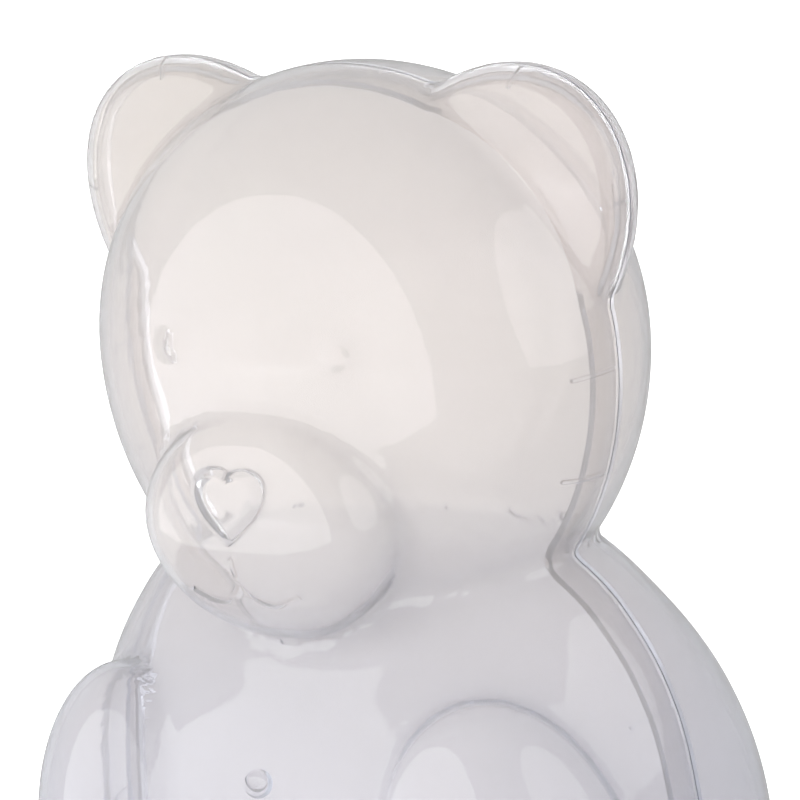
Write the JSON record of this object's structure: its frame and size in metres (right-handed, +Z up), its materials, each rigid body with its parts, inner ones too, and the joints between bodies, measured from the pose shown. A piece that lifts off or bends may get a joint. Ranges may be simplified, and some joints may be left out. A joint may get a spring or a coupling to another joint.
{
  "type": "bear-shaped container",
  "caption": "Sitting bear-shaped candy container in milky plastic: a front and a back half shell that plug together round an upright rim.",
  "frame": {"origin": "centre of the flat base, on the ground and on the upright plane where the two shells part", "axes": "+Z up through the head, -Y the way the bear faces and the front shell pulls off, +X to the bear's left"},
  "size_m": [0.1284, 0.1468, 0.203],
  "materials": {
    "clear_front_plastic": "glossy, milky translucent",
    "clear_back_plastic": "glossy, milky translucent"
  },
  "bodies": {
    "back": {"back_shell": "clear_back_plastic"},
    "front": {"front_shell": "clear_front_plastic"}
  },
  "joints": [
    {"name": "shell_pull", "type": "slide", "parent": "back", "child": "front", "axis": [0, -1, 0], "range_m": [0, 0.1]}
  ]
}
